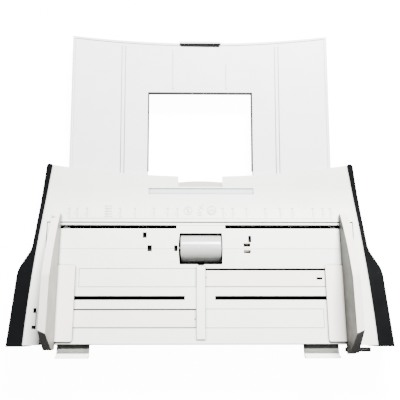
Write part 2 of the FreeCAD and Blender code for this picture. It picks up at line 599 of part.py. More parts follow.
# ---------------------------------------------------------------- guides
def guide_profiles(toe_y):
    """Side outlines (y, z) of the wall's inner and outer faces, with matching points."""
    inner = dict(tip=(9.2, 6.5), rise=(-34.0, 34.5), knee=(-78.0, 54.5), end=(-136.5, 56.5), toe_y=toe_y)
    outer = dict(tip=(8.4, 5.0), rise=(-34.0, 31.5), knee=(-76.0, 49.5), end=(-132.0, 51.5), toe_y=toe_y)
    return inner, outer


def wall_wire(x, p):
    """The outline of one face; below its toe the end is upright, as the chute lies."""
    def v(y, z):
        return Vector(x, y, z)

    behind = TABLE_FRONT_Y - 0.6
    foot_y = p["toe_y"] + (TOE_Z - FOOT_Z) * math.tan(TILT)
    corners = [v(*p["knee"]), v(*p["end"]), v(p["toe_y"], TOE_Z), v(foot_y, FOOT_Z + 2),
               v(foot_y + 2, FOOT_Z), v(behind, FOOT_Z), v(behind, WALL_LOW_Z),
               v(p["tip"][0], WALL_LOW_Z), v(*p["tip"])]
    edges = [segment(a, b) for a, b in zip(corners, corners[1:])]
    edges.append(Part.Arc(v(*p["tip"]), v(*p["rise"]), v(*p["knee"])).toShape())
    return Part.Wire(edges)


def rounded_plan(x0, x1, y0, y1, low_r, high_r):
    """Plan of a wall whose ends have rounded corners."""
    s = 1 - math.sqrt(0.5)

    def corner(x, y, dx, dy, r):
        return arc((x, y + dy * r), (x + dx * r * s, y + dy * r * s), (x + dx * r, y))

    return [
        corner(x0, y0, 1, 1, low_r), line((x0 + low_r, y0), (x1 - low_r, y0)),
        corner(x1, y0, -1, 1, low_r), line((x1, y0 + low_r), (x1, y1 - high_r)),
        corner(x1, y1, -1, -1, high_r), line((x1 - high_r, y1), (x0 + high_r, y1)),
        corner(x0, y1, 1, -1, high_r), line((x0, y1 - high_r), (x0, y0 + low_r)),
    ]


def make_guide(channel, toe_y, toe_r):
    """Right-hand side guide: tall wall with a flat base plate and two studs for its rack arm.

    channel is 1 where the arm lies in the upper channel and -1 where it lies in the lower one.
    toe_y and toe_r are the place and the corner radius of the wall's front end.
    """
    inner, outer = guide_profiles(toe_y)
    wall = Part.makeLoft([wall_wire(WALL_IN, inner), wall_wire(WALL_OUT, outer)], True, True)
    plan = rounded_plan(WALL_IN, WALL_OUT, toe_y, inner["tip"][0], toe_r, TIP_R)
    wall = wall.common(plan_prism(plan, -HIGH, HIGH))
    base = box(BASE_IN, WALL_IN + 1, BASE_LOW_Y, BASE_HIGH_Y, BASE_Z0, BASE_Z1)
    corner = [e for e in base.Edges if abs(e.Vertexes[0].X - BASE_IN) < 1e-6
              and abs(e.Vertexes[1].X - BASE_IN) < 1e-6
              and abs(e.Vertexes[0].Y - e.Vertexes[1].Y) < 1e-6]
    base = base.makeFillet(2.0, corner)
    guide = wall.fuse(base)
    for y in STUD_YS:
        guide = guide.fuse(cyl_z(STUD_X, PINION_Y + channel * y, ARM_LOW_Z + 1, BASE_Z0 + 0.5, STUD_R))
    return guide


def rack_teeth(x0, x1):
    """Tooth spaces of the right-hand arm's rack, whose pitch line is above the pinion."""
    pitch = math.pi * MODULE
    pitch_y = PINION_Y + PINION_R
    slope = math.tan(math.radians(20.0))
    root, tip = pitch_y + 1.15 * MODULE, pitch_y - 0.9 * MODULE
    half = pitch / 4 + BACKLASH / 2
    cutters = []
    for k in range(int(x0 / pitch) - 1, int(x1 / pitch) + 2):
        x = k * pitch
        low = half + (pitch_y - tip + 0.5) * slope
        high = half - (root - pitch_y) * slope
        ring = [Vector(x - low, tip - 0.5, -8), Vector(x + low, tip - 0.5, -8),
                Vector(x + high, root, -8), Vector(x - high, root, -8)]
        face = Part.Face(Part.makePolygon(ring + ring[:1]))
        cutters.append(face.extrude(Vector(0, 0, 8)))
    return Part.makeCompound(cutters)


def make_rack_arm(gap):
    """Right-hand rack arm: flat bar with teeth, and a pad that the guide's base plate rests on.

    gap is what it leaves open at its channel's outer edge.
    """
    x0, x1 = -9.0, 156.0
    tip_y = PINION_Y + PINION_R - 0.9 * MODULE
    y_out = PINION_Y + CHANNEL_OUT - gap
    pad_low = PINION_Y + CHANNEL_IN + 1.2
    arm = box(x0, x1, tip_y, y_out, ARM_LOW_Z, ARM_TOP_Z)
    arm = arm.fuse(box(BASE_IN + 2, x1, pad_low, y_out - 0.7, ARM_TOP_Z - 0.5, BASE_Z0))
    arm = arm.cut(rack_teeth(x0, x1))
    for y in STUD_YS:
        arm = arm.cut(cyl_z(STUD_X, PINION_Y + y, -5, 2, STUD_R + EASE))
    # groove along the land's edge
    inner = PINION_Y + CHANNEL_IN
    arm = arm.cut(box(x0 - 1, BASE_IN + 1.5, inner - 0.1, inner + 1.1, ARM_TOP_Z - 1.6, 0))
    # moulding dimple at the inner end
    return arm.cut(cyl_z(DIMPLE_X, DIMPLE_Y, ARM_TOP_Z - 0.9, 2, 0.9))


def make_shoe():
    """Right-hand shoe in the upper slot, under the thin end of the guide's wall."""
    tab = box(SHOE_X0, SHOE_X1, UPPER_SLOT_Y - 1.2, UPPER_SLOT_Y + 1.2, -4, 0.4)
    return tab.fuse(box(SHOE_X0, SHOE_X1, UPPER_SLOT_Y - 2.6, UPPER_SLOT_Y + 2.6, -5.2, -SKIN - GAP))


def make_clip():
    """Right-hand retainer in the lower slot, under the guide's base plate."""
    tab = box(CLIP_X0, CLIP_X1, PINION_Y - 1.2, PINION_Y + 1.2, -2, BASE_Z0)
    return tab.fuse(box(CLIP_X0, CLIP_X1, PINION_Y - CLIP_HALF, PINION_Y + CLIP_HALF,
                        TUNNEL_Z + GAP, -LAND_SKIN - GAP))


def other_side(shape):
    """Left-hand twin of an arm: the same moulding, turned about the pinion's axis."""
    out = shape.copy()
    out.rotate(Vector(0, PINION_Y, 0), Vector(0, 0, 1), 180)
    return out


# ---------------------------------------------------------------- pinion and roller
def involute(base_r, r):
    """Angle swept by the involute of a base circle out to radius r."""
    a = math.acos(min(1.0, base_r / r))
    return math.tan(a) - a


def make_pinion():
    base_r = PINION_R * math.cos(math.radians(20.0))
    tip_r = PINION_R + 0.9 * MODULE
    root_r = PINION_R - 1.15 * MODULE
    half = math.pi / 2 / PINION_TEETH - BACKLASH / 2 / PINION_R
    start = involute(base_r, PINION_R) + half
    radii = [base_r + (tip_r - base_r) * i / 5 for i in range(6)]
    points = []
    for tooth in range(PINION_TEETH):
        middle = math.pi / 2 + 2 * math.pi * tooth / PINION_TEETH
        flank = [(r, start - involute(base_r, r)) for r in radii]
        outline = [(root_r, start)] + flank
        outline = [(r, -a) for r, a in outline] + [(r, a) for r, a in reversed(outline)]
        for r, a in outline:
            points.append(Vector(r * math.cos(middle + a), PINION_Y + r * math.sin(middle + a), 0))
    face = Part.Face(Part.makePolygon(points + points[:1]))
    face.translate(Vector(0, 0, TUNNEL_Z + 0.35))
    gear = face.extrude(Vector(0, 0, -LAND_SKIN - GAP - TUNNEL_Z - 0.35))
    return gear.cut(cyl_z(0, PINION_Y, -12, 0, 2.5 + 0.06))


def make_roller():
    """Hollow roller with a hub at each end."""
    drum = cyl_x(-ROLLER_HALF, ROLLER_HALF, ROLLER_Y, ROLLER_Z, ROLLER_R)
    rim = [e for e in drum.Edges if isinstance(e.Curve, Part.Circle)]
    drum = drum.makeFillet(0.8, rim)
    drum = drum.cut(cyl_x(-ROLLER_HALF + 4, ROLLER_HALF - 4, ROLLER_Y, ROLLER_Z, ROLLER_R - 2.6)
                    .cut(cyl_x(-ROLLER_HALF, ROLLER_HALF, ROLLER_Y, ROLLER_Z, 5.5)))
    return drum.cut(cyl_x(-40, 40, ROLLER_Y, ROLLER_Z, SHAFT_R))


def make_roller_shaft():
    return cyl_x(-30.0, 30.0, ROLLER_Y, ROLLER_Z, SHAFT_R)


# ---------------------------------------------------------------- extension
def make_extension():
    """U-shaped pull-out tray with rims, fold grooves, finger slot and grip bar."""
    z0, z1 = EXT_TOP_Z - EXT_SKIN, EXT_TOP_Z
    left, right = (-EXT_HALF_TOP, EXT_CORNER_Y), (EXT_HALF_TOP, EXT_CORNER_Y)
    low_r, low_l = (EXT_HALF_LOW, EXT_LOW_Y), (-EXT_HALF_LOW, EXT_LOW_Y)

    def outline(inset):
        return [
            arc((left[0] + inset, left[1] - inset), (0, EXT_MID_Y - inset),
                (right[0] - inset, right[1] - inset)),
            line((right[0] - inset, right[1] - inset), (low_r[0] - inset, low_r[1])),
            line((low_r[0] - inset, low_r[1]), (low_l[0] + inset, low_l[1])),
            line((low_l[0] + inset, low_l[1]), (left[0] + inset, left[1] - inset)),
        ]

    window = box(-EXT_WINDOW_HALF, EXT_WINDOW_HALF, 0, EXT_WINDOW_Y, 0, HIGH)
    collar = box(-EXT_WINDOW_HALF - 2.2, EXT_WINDOW_HALF + 2.2, 0, EXT_WINDOW_Y + 2.2, 0, HIGH)
    outer = plan_prism(outline(0), z0, z1)
    flange = plan_prism(outline(0), EXT_TOP_Z - EXT_DEPTH, z1).cut(
        plan_prism(outline(2.2), 0, HIGH).cut(collar))
    tray = outer.fuse(flange)
    bead = plan_prism(outline(1.4), z1 - 0.5, z1 + 0.6).cut(plan_prism(outline(3.0), 0, HIGH))
    tray = tray.fuse(bead.cut(box(-200, 200, 0, EXT_LOW_Y + 2, 0, HIGH)))
    for side in (1, -1):
        for x in (88.2, 92.4):
            tray = tray.cut(box(side * x - 0.5, side * x + 0.5, 0, 211, z1 - 0.6, HIGH))
    tray = tray.fuse(box(-32.6, -31.8, 160, 207.5, z1 - 0.5, z1 + 0.5))
    tray = tray.fuse(box(29.8, 30.6, 160, 189, z1 - 0.5, z1 + 0.5))
    for x in (-31.8, 30.6):
        tray = tray.fuse(cyl_z(x, 160, z1 - 0.5, z1 + 0.6, 1.1))
    # stiffening ribs on the hidden side
    for x in (-120.0, -76.0, 76.0, 120.0):
        tray = tray.fuse(box(x - 0.9, x + 0.9, EXT_LOW_Y, 200, EXT_TOP_Z - EXT_DEPTH + 1.5, z0 + 0.5))
    for y in (60.0, 100.0, 140.0, 180.0):
        for side in (1, -1):
            xs = sorted((side * (EXT_WINDOW_HALF + 1), side * (EXT_HALF_TOP - 1)))
            if y > EXT_WINDOW_Y:
                xs = sorted((0, side * (EXT_HALF_TOP - 1)))
            tray = tray.fuse(box(xs[0], xs[1], y - 0.9, y + 0.9, EXT_TOP_Z - EXT_DEPTH + 3.5, z0 + 0.5))
    tray = tray.cut(window)
    # finger slot and grip bar
    tray = tray.cut(box(-HANDLE_HALF, HANDLE_HALF, 210.4, 213.3, 0, HIGH))
    bar = box(-HANDLE_HALF - 1.5, HANDLE_HALF + 1.5, 213.3, 216.6, z0 - 3, z1 + 3.0)
    rim = [e for e in bar.Edges if all(v.Z > z1 + 2.9 for v in e.Vertexes)]
    return tray.fuse(bar.makeFillet(1.0, rim))


def make_extension_stop():
    """Right-hand rubber stop at the extension's hidden end."""
    return box(124, 136, EXT_LOW_Y - 2.5, EXT_LOW_Y - EASE, EXT_TOP_Z - EXT_DEPTH + 1, EXT_TOP_Z - 0.4)


# ---------------------------------------------------------------- all pieces
def make_screws(places, z, length, head_h=1.6):
    return group([screw(x, y, z, length, head_h) for x, y in places])


def cover_screw_places():
    return [(math.copysign(body_half_width(y) - 7.5, x), y) for x, y in COVER_SCREWS]


def pieces():
    trim = make_side_trim()
    rail = make_extension_rail()
    spring = make_click_spring()
    shoe, clip = make_shoe(), make_clip()
    bush = make_roller_bush()
    stop = make_extension_stop()
    yield "chute_body", make_chute_body()
    yield "side_trim_right", trim
    yield "side_trim_left", mirror_x(trim)
    yield "paper_table", tilted(make_paper_table())
    yield "centre_strip", tilted(make_centre_strip())
    yield "roller_cradle", make_roller_cradle()
    yield "roller_bush_right", at_roller(bush)
    yield "roller_bush_left", at_roller(mirror_x(bush))
    yield "pinion_plate", tilted(make_pinion_plate())
    yield "pinion_axle", tilted(make_pinion_axle())
    yield "pinion_washer", tilted(make_pinion_washer())
    yield "sensor_board", tilted(make_sensor_board())
    yield "sensor_blocks", tilted(make_sensor_blocks())
    yield "front_beam", make_front_beam()
    yield "hook_left", make_hook(-156.7, -121.2)
    yield "hook_right", make_hook(112.8, 151.2)
    yield "pivot_pin", make_pivot_pin()
    yield "rear_cover", make_rear_cover()
    yield "slide_strips", make_slide_strips()
    yield "light_shield", make_light_shield()
    yield "extension_rail_right", rail
    yield "extension_rail_left", mirror_x(rail)
    yield "click_spring_right", spring
    yield "click_spring_left", mirror_x(spring)
    yield "rubber_feet", group([cyl_z(x, y, 0, COVER_Z0, 8.0) for x, y in FEET])
    yield "cover_screws", make_screws(cover_screw_places(), COVER_Z0, 12.0, 1.4)
    yield "table_screws", tilted(make_screws(TABLE_SCREWS, -5.0, 4.0))
    yield "cradle_screws", at_roller(make_screws(CRADLE_SCREWS, -5.0, 4.0))
    yield "pinion_plate_screws", tilted(make_screws(PLATE_SCREWS, BLOCK_Z - 2, 3.2))
    yield "board_screws", tilted(make_screws(BOARD_SCREWS, -9.6, 6.0))
    x, y, w, h = JIG_HOLE
    yield "guide_right", tilted(make_guide(1, RIGHT_TOE_Y, RIGHT_TOE_R))
    jig = box(x - w / 2, x + w / 2, y - h / 2, y + h / 2, -5, 2)
    yield "rack_arm_right", tilted(make_rack_arm(RIGHT_ARM_GAP).cut(jig))
    yield "guide_shoe_right", tilted(shoe)
    yield "guide_clip_right", tilted(clip)
    yield "guide_left", tilted(mirror_x(make_guide(-1, LEFT_TOE_Y, LEFT_TOE_R)))
    yield "rack_arm_left", tilted(other_side(make_rack_arm(LEFT_ARM_GAP)))
    yield "guide_shoe_left", tilted(mirror_x(shoe))
    yield "guide_clip_left", tilted(mirror_x(clip))
    yield "pinion_gear", tilted(make_pinion())
    yield "roller", at_roller(make_roller())
    yield "roller_shaft", at_roller(make_roller_shaft())
    yield "extension_tray", make_extension()
    yield "extension_stop_right", stop
    yield "extension_stop_left", mirror_x(stop)


def main():
    os.makedirs("parts", exist_ok=True)
    for name, shape in pieces():
        if len(shape.Solids) == 1:
            shape = shape.removeSplitter()
        shape.translate(Vector(0, Y_SHIFT, 0))
        print(name, len(shape.Solids), shape.isValid(), round(shape.Volume))
        shape.exportStep(os.path.join("parts", name + ".step"))


main()
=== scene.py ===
import json
import math

import bmesh
import bpy
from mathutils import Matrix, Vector


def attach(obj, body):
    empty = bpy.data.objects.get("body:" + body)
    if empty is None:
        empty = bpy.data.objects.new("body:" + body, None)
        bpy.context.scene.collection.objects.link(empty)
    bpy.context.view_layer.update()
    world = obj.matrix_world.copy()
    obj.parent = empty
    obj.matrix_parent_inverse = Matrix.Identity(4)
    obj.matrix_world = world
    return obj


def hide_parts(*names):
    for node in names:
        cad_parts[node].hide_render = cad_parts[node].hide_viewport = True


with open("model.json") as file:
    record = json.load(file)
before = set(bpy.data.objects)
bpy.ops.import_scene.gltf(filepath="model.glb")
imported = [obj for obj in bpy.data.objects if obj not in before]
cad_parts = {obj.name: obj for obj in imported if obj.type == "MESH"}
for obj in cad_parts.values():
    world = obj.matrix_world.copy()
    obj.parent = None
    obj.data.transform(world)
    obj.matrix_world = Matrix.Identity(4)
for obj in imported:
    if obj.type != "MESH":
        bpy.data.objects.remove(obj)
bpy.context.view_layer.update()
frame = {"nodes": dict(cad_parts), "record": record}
nodes = frame["nodes"]

# The chute frame is the CAD frame, with Y = 0 on the joint between plate and table.
# The row frame is the imported part's frame, which lies Y_SHIFT further along Y.
MM = 0.001
TILT = math.radians(10.0)         # the paper table rises towards the feed end
JOINT_HEIGHT = 32.0               # joint line between the upper plate and the paper table, in mm
Y_SHIFT = -36.2 * MM

SLOTS = {s["node"]: s["material_slot"] for s in frame["record"]["subparts"]}
BODIES = {n: body for body, names in frame["record"]["behaviour"]["bodies"].items() for n in names}


def above_table(place):
    """How far a place of the row frame stands above the paper table's top surface."""
    return (place.y - Y_SHIFT) * math.sin(TILT) + (place.z - JOINT_HEIGHT * MM) * math.cos(TILT)


def in_box(place, x0, x1, y0, y1):
    """Whether a place lies inside a rectangle given in millimetres of the chute frame."""
    return x0 * MM < place.x < x1 * MM and y0 * MM < place.y - Y_SHIFT < y1 * MM


# ---------------------------------------------------------------- camera
CAMERA_PLACE = (-0.01480, -0.15775, 0.91152)
CAMERA_TURN = (9.4547, -0.9753, -0.0540)       # degrees about X, Y and Z
CAMERA_LENS = 70.49               # millimetres, on a sensor 36 mm wide
CAMERA_SHIFT_X = -0.0016


def add_camera():
    data = bpy.data.cameras.new("camera")
    data.lens = CAMERA_LENS
    data.sensor_width = 36.0
    data.shift_x = CAMERA_SHIFT_X
    camera = bpy.data.objects.new("camera", data)
    bpy.context.collection.objects.link(camera)
    camera.location = CAMERA_PLACE
    camera.rotation_euler = [math.radians(a) for a in CAMERA_TURN]
    bpy.context.scene.camera = camera


# ---------------------------------------------------------------- light and floor
BACKDROP = 14.0                   # brightness of the white sweep, as the camera sees it
FILL = 0.035                      # brightness of the same sweep, as the object sees it
FLOOR_HALF = 6.0                  # metres


def add_area(name, place, target, size, power):
    data = bpy.data.lights.new(name, "AREA")
    data.shape = "RECTANGLE"
    data.size, data.size_y = size
    data.energy = power
    lamp = bpy.data.objects.new(name, data)
    bpy.context.collection.objects.link(lamp)
    lamp.location = place
    aim = Vector(target) - Vector(place)
    lamp.rotation_euler = aim.to_track_quat("-Z", "Y").to_euler()


def add_light():
    world = bpy.data.worlds.new("world")
    world.use_nodes = True
    tree = world.node_tree
    tree.nodes["Background"].inputs["Color"].default_value = (1, 1, 1, 1)
    # white to the camera, and only a little fill to the object
    path = tree.nodes.new("ShaderNodeLightPath")
    level = tree.nodes.new("ShaderNodeMapRange")
    level.inputs["To Min"].default_value = FILL
    level.inputs["To Max"].default_value = BACKDROP
    tree.links.new(path.outputs["Is Camera Ray"], level.inputs["Value"])
    tree.links.new(level.outputs["Result"], tree.nodes["Background"].inputs["Strength"])
    bpy.context.scene.world = world
    add_area("key", (0.22, 0.30, 1.60), (0, 0, 0), (0.55, 0.40), 14)
    add_area("back", (0.30, 1.15, 1.30), (0, 0, 0), (0.6, 0.30), 290)


def add_floor():
    data = bpy.data.meshes.new("floor")
    s = FLOOR_HALF
    data.from_pydata([(-s, -s, 0), (s, -s, 0), (s, s, 0), (-s, s, 0)], [], [(0, 1, 2, 3)])
    floor = bpy.data.objects.new("floor", data)
    bpy.context.collection.objects.link(floor)
    mat = bpy.data.materials.new("floor")
    mat.use_nodes = True
    bsdf = mat.node_tree.nodes["Principled BSDF"]
    bsdf.inputs["Base Color"].default_value = (0.35, 0.35, 0.35, 1)
    bsdf.inputs["Roughness"].default_value = 0.9
    # it glows for the camera alone, so it throws no light up at the object
    glow = mat.node_tree.nodes.new("ShaderNodeLightPath")
    gain = mat.node_tree.nodes.new("ShaderNodeMath")
    gain.operation = "MULTIPLY"
    gain.inputs[1].default_value = BACKDROP
    mat.node_tree.links.new(glow.outputs["Is Camera Ray"], gain.inputs[0])
    bsdf.inputs["Emission Color"].default_value = (1, 1, 1, 1)
    mat.node_tree.links.new(gain.outputs[0], bsdf.inputs["Emission Strength"])
    data.materials.append(mat)


# ---------------------------------------------------------------- materials
CREVICE = 3.2 * MM                # how far off a wall still shades a crevice
OPENNESS = (0.42, 0.96)           # open share of the sky where the shading is fullest, and where it ends
GRAIN_DEPTH = 0.00012             # metres
BRUSH_DEPTH = 0.00008


class Nodes:
    """Short names for building one material's node tree."""

    def __init__(self, name):
        self.mat = bpy.data.materials.new(name)
        self.mat.use_nodes = True
        self.tree = self.mat.node_tree
        self.bsdf = self.tree.nodes["Principled BSDF"]

    def add(self, kind, **values):
        node = self.tree.nodes.new(kind)
        for key, value in values.items():
            if key in node.inputs:
                node.inputs[key].default_value = value
            else:
                setattr(node, key, value)
        return node

    def link(self, a, out, b, into):
        self.tree.links.new(a.outputs[out], b.inputs[into])

    def noise(self, scale, detail=2.0):
        node = self.add("ShaderNodeTexNoise", Scale=scale, Detail=detail, Roughness=0.5)
        self.link(self.add("ShaderNodeTexCoord"), "Object", node, "Vector")
        return node

    def ramp(self, source, out, low, high, a, b):
        node = self.add("ShaderNodeMapRange")
        node.inputs["From Min"].default_value = low
        node.inputs["From Max"].default_value = high
        node.inputs["To Min"].default_value = a
        node.inputs["To Max"].default_value = b
        self.link(source, out, node, "Value")
        return node

    def mix_colour(self, factor, out, a, b):
        node = self.add("ShaderNodeMix", data_type="RGBA")
        for socket in node.inputs:
            if socket.type == "RGBA":
                socket.default_value = (*(a if socket.name == "A" else b), 1)
        self.link(factor, out, node, "Factor")
        return node

    def colour_from(self, node, socket):
        """Feeds a mix node's colour into a socket."""
        result = [o for o in node.outputs if o.type == "RGBA"][0]
        self.tree.links.new(result, socket)

    def darken_crevices(self, base, amount, reach):
        """Painted shade in grooves, joints and corners: the colour falls off where little light gets in.
        """
        open_sky = self.add("ShaderNodeAmbientOcclusion", Distance=reach, samples=12)
        unshaded = self.ramp(open_sky, "AO", *OPENNESS, 1.0 - amount, 1.0)
        scale = self.add("ShaderNodeVectorMath", operation="SCALE")
        self.colour_from(base, scale.inputs[0])
        self.tree.links.new(unshaded.outputs["Result"], scale.inputs["Scale"])
        self.tree.links.new(scale.outputs["Vector"], self.bsdf.inputs["Base Color"])

    def bump(self, source, out, strength, distance):
        node = self.add("ShaderNodeBump")
        node.inputs["Strength"].default_value = strength
        node.inputs["Distance"].default_value = distance
        self.link(source, out, node, "Height")
        self.link(node, "Normal", self.bsdf, "Normal")
        return node


def plastic(name, colour, shade, roughness, grain=0.25, spec=0.5, crevice_shade=0.0, reach=CREVICE):
    """Moulded plastic: slight tone drift, fine spark-eroded grain, worn sheen, and, when asked, painted
    shade in its crevices.
    """
    n = Nodes(name)
    drift = n.noise(14.0, 3.0)
    tone = n.ramp(drift, "Fac", 0.35, 0.65, 0.0, 1.0)
    base = n.mix_colour(tone, "Result", colour, shade)
    # painted shade: the colour darkens in grooves, joints and corners
    if crevice_shade:
        n.darken_crevices(base, crevice_shade, reach)
    else:
        n.colour_from(base, n.bsdf.inputs["Base Color"])
    wear = n.noise(60.0, 4.0)
    rough = n.ramp(wear, "Fac", 0.3, 0.7, roughness - 0.05, roughness + 0.07)
    n.link(rough, "Result", n.bsdf, "Roughness")
    n.bsdf.inputs["Specular IOR Level"].default_value = spec
    fine = n.noise(2600.0, 2.0)
    n.bump(fine, "Fac", grain, GRAIN_DEPTH)
    return n.mat


def metal(name, colour, roughness):
    """Drawn metal with a faint brushed pattern."""
    n = Nodes(name)
    lines = n.noise(900.0, 2.0)
    tone = n.ramp(lines, "Fac", 0.3, 0.7, 0.0, 1.0)
    dark = tuple(c * 0.82 for c in colour)
    n.colour_from(n.mix_colour(tone, "Result", colour, dark), n.bsdf.inputs["Base Color"])
    rough = n.ramp(lines, "Fac", 0.3, 0.7, roughness - 0.06, roughness + 0.08)
    n.link(rough, "Result", n.bsdf, "Roughness")
    n.bsdf.inputs["Metallic"].default_value = 1.0
    n.bump(lines, "Fac", 0.2, BRUSH_DEPTH)
    return n.mat


# name, colour, colour of the darker patches, roughness, and what else differs from plastic()'s defaults
# the crevice setting in the last column paints shade into grooves, joints and corners
PLASTICS = (
    ("white_plastic", (0.60, 0.615, 0.575), (0.57, 0.59, 0.545), 0.36, {"crevice_shade": 0.985}),
    ("guide_plastic", (0.62, 0.575, 0.53), (0.59, 0.54, 0.495), 0.40, {"crevice_shade": 0.85}),
    ("grey_plastic", (0.45, 0.46, 0.45), (0.42, 0.43, 0.42), 0.5, {}),
    # the roller's crevice shading reaches far, so its lower part in the window is darkened as painted
    # shade
    ("roller_plastic", (0.33, 0.335, 0.325), (0.31, 0.315, 0.305), 0.26,
     {"grain": 0.1, "crevice_shade": 0.93, "reach": 7.0 * MM}),
    ("black_trim", (0.0010, 0.0012, 0.0014), (0.0014, 0.0016, 0.0018), 0.62,
     {"grain": 0.4, "spec": 0.02}),
    ("dark_plastic", (0.0025, 0.0025, 0.0025), (0.004, 0.004, 0.004), 0.6, {"spec": 0.05}),
    ("edge_shade", (0.010, 0.010, 0.010), (0.014, 0.014, 0.013), 0.6, {"spec": 0.1}),
    ("band", (0.47, 0.50, 0.52), (0.45, 0.48, 0.50), 0.30, {"crevice_shade": 0.9}),
    # the hooks are whiter than the other white parts: painted light on their troughs, which lie in the
    # table's shadow
    ("hook_lit_plastic", (0.80, 0.80, 0.76), (0.77, 0.77, 0.73), 0.34, {"crevice_shade": 0.6, "reach": 1.6 * MM}),
    # painted shadow of the table's front edge, for the top of each hook
    ("hook_shade", (0.045, 0.045, 0.042), (0.038, 0.038, 0.036), 0.5, {}),
    ("tray_plastic", (0.57, 0.585, 0.565), (0.54, 0.56, 0.535), 0.34,
     {"crevice_shade": 0.75, "reach": 1.8 * MM}),
    # darker copies of the guide plastic: painted shade on the guides' inner faces, deeper on the right
    # guide
    ("guide_shade", (0.21, 0.195, 0.175), (0.195, 0.182, 0.162), 0.45, {"spec": 0.3, "crevice_shade": 0.8}),
    ("guide_deep_shade", (0.058, 0.061, 0.051), (0.052, 0.055, 0.046), 0.5, {"spec": 0.2, "crevice_shade": 0.8}),
    # near-black painted shade on the guides' end faces towards the feed end
    ("guide_end_shade", (0.034, 0.033, 0.026), (0.029, 0.028, 0.022), 0.6, {"spec": 0.15, "crevice_shade": 0.6}),
    ("cover_plastic", (0.34, 0.325, 0.29), (0.31, 0.30, 0.27), 0.45, {"crevice_shade": 0.9}),
    ("rubber", (0.02, 0.02, 0.02), (0.028, 0.028, 0.028), 0.8, {}),
    ("circuit_board", (0.10, 0.045, 0.015), (0.07, 0.03, 0.012), 0.5, {}),
)


def make_materials():
    made = {}
    for name, colour, shade, roughness, more in PLASTICS:
        made[name] = plastic(name, colour, shade, roughness, **more)
    made["steel"] = metal("steel", (0.58, 0.58, 0.57), 0.35)
    made["dark_steel"] = metal("dark_steel", (0.10, 0.10, 0.095), 0.4)
    return made


# pieces whose look differs from their slot's usual one
# the shoes, clips, sensor blocks and roller bushes are made black as painted shade in the slots, holes
# and gaps where they sit
SPECIAL = {"guide_shoe_left": "dark_plastic", "guide_shoe_right": "dark_plastic",
           "guide_clip_left": "dark_plastic", "guide_clip_right": "dark_plastic",
           "sensor_blocks": "dark_plastic", "rear_cover": "cover_plastic",
           "roller_bush_left": "dark_plastic", "roller_bush_right": "dark_plastic",
           "roller_shaft": "dark_steel", "hook_left": "hook_lit_plastic", "hook_right": "hook_lit_plastic",
           "extension_tray": "tray_plastic"}


def look(materials, node):
    return materials[SPECIAL.get(node, SLOTS[node])]


def dress(materials):
    """Gives every CAD node its material."""
    for name, obj in nodes.items():
        obj.data.materials.clear()
        obj.data.materials.append(look(materials, name))


# ---------------------------------------------------------------- pieces
SHARP = math.radians(32.0)        # edges at least this sharp are rounded
SMOOTH = math.radians(35.0)       # faces that meet more flatly are shaded as one
FLAT = math.radians(0.6)          # facets this close to level are merged first
ROOM = 1.15                       # a rounding's neighbours are this many widths long or more


def is_sharp(edge):
    return len(edge.link_faces) == 2 and edge.calc_face_angle(0.0) > SHARP


def has_room(edge, chosen, width):
    """Whether the edge's plain neighbours are long enough to take a rounding of this width."""
    for vert in edge.verts:
        for other in vert.link_edges:
            if other is not edge and other not in chosen and other.calc_length() < ROOM * width:
                return False
    return True


def add_piece(name, mesh, body, material):
    """Puts a mesh in the scene as a piece that moves with a body."""
    piece = bpy.data.objects.new(name, mesh)
    bpy.context.collection.objects.link(piece)
    mesh.materials.clear()
    mesh.materials.append(material)
    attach(piece, body)
    return piece


def smooth(piece, mesh):
    for face in mesh.polygons:
        face.use_smooth = True
    mesh.set_sharp_from_angle(angle=SMOOTH)
    weighted = piece.modifiers.new("normals", "WEIGHTED_NORMAL")
    weighted.keep_sharp = True


def soften(node, width, least, materials):
    """Replaces a CAD node by a copy whose moulded edges are rounded.

    The rounding's width and the least length of an edge that gets one are in millimetres.
    """
    width *= MM
    work = bmesh.new()
    work.from_mesh(nodes[node].data)
    bmesh.ops.remove_doubles(work, verts=work.verts, dist=1e-6)
    bmesh.ops.dissolve_limit(work, angle_limit=FLAT, verts=work.verts, edges=work.edges)
    chosen = {e for e in work.edges if is_sharp(e) and e.calc_length() > least * MM}
    for _ in range(3):
        chosen = {e for e in chosen if has_room(e, chosen, width)}
    ordered = [e for e in work.edges if e in chosen]
    bmesh.ops.bevel(work, geom=ordered, offset=width, offset_type="OFFSET", segments=2, profile=0.5,
                    affect="EDGES", clamp_overlap=True)
    mesh = bpy.data.meshes.new(node + "_skin")
    work.to_mesh(mesh)
    work.free()
    piece = add_piece(node + "_skin", mesh, BODIES[node], look(materials, node))
    piece.matrix_world = nodes[node].matrix_world.copy()
    smooth(piece, mesh)
    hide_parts(node)
    return piece


def accent(piece, material, test):
    """Gives the faces that pass a test another material."""
    piece.data.materials.append(material)
    for face in piece.data.polygons:
        place = piece.matrix_world @ face.center
        facing = piece.matrix_world.to_3x3() @ face.normal
        if test(place, facing):
            face.material_index = len(piece.data.materials) - 1


# the three sides of a dark strip around the extension's window, painted shade along its walls: x0, x1,
# y0, y1
STRIP_SIDES = ((-61.9, -59.6, 60.0, 155.3), (59.2, 61.9, 60.0, 155.3), (-61.9, 61.9, 152.9, 155.3))
STRIP_LOW, STRIP_HIGH = 21.6, 23.75   # its underside and its top, just below the extension's top


